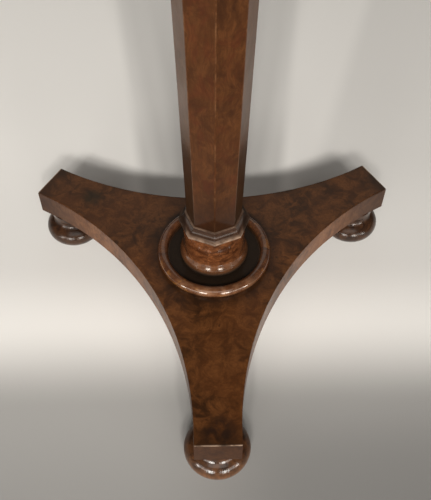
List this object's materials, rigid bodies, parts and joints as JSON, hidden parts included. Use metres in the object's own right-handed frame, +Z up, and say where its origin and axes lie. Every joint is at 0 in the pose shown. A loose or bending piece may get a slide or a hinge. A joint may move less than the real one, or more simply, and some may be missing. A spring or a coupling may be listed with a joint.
{
  "type": "occasional table",
  "caption": "Round occasional table: a veneered octagonal column that widens upwards, a turned boss and ring, a three-lobed platform with concave sides, and bun feet.",
  "frame": {"origin": "on the floor, on the axis of the column, midway between the three feet", "axes": "+Z up along the column's axis; -Y towards the front lobe and its foot; +X to the viewer's right"},
  "size_m": [0.5399, 0.54, 0.72],
  "materials": {
    "column_veneer": "French-polished burr veneer, red-brown, mottled with dark eyes, satin gloss",
    "platform_veneer": "French-polished burr veneer, darker and duller than the column, worn at its edges",
    "edge_veneer": "French-polished veneer on the platform's edges, grazing gloss",
    "turned_wood": "turned solid wood, orange-red, high gloss on its rounds",
    "collar_wood": "solid wood collar, polished, edges worn paler",
    "foot_wood": "turned solid wood, very dark, polished",
    "top_veneer": "French-polished burr veneer, four matched quarters",
    "band_veneer": "cross-grained veneer band, French-polished",
    "carcase_wood": "plain solid wood, unpolished inside, stained where it shows",
    "wedge_wood": "pale straight-grained hardwood, unfinished",
    "screw_brass": "old brass, dull"
  },
  "bodies": {
    "root": {"bun_foot_front": "foot_wood", "bun_foot_right": "foot_wood", "bun_foot_left": "foot_wood", "platform_core": "carcase_wood", "platform_top_veneer": "platform_veneer", "platform_edge_right": "edge_veneer", "platform_edge_back": "edge_veneer", "platform_edge_left": "edge_veneer", "platform_end_front": "edge_veneer", "platform_end_right": "edge_veneer", "platform_end_left": "edge_veneer", "base_ring": "turned_wood", "turned_boss": "turned_wood", "lower_collar": "collar_wood", "column_core": "carcase_wood", "column_facet_1": "column_veneer", "column_facet_2": "column_veneer", "column_facet_3": "column_veneer", "column_facet_4": "column_veneer", "column_facet_5": "column_veneer", "column_facet_6": "column_veneer", "column_facet_7": "column_veneer", "column_facet_8": "column_veneer", "tenon_wedge": "wedge_wood", "upper_collar": "collar_wood", "top_block": "carcase_wood", "block_screws": "screw_brass", "tabletop_core": "carcase_wood", "tabletop_veneer_1": "top_veneer", "tabletop_veneer_2": "top_veneer", "tabletop_veneer_3": "top_veneer", "tabletop_veneer_4": "top_veneer", "tabletop_crossbanding": "band_veneer", "tabletop_edge_moulding": "turned_wood"}
  },
  "joints": []
}
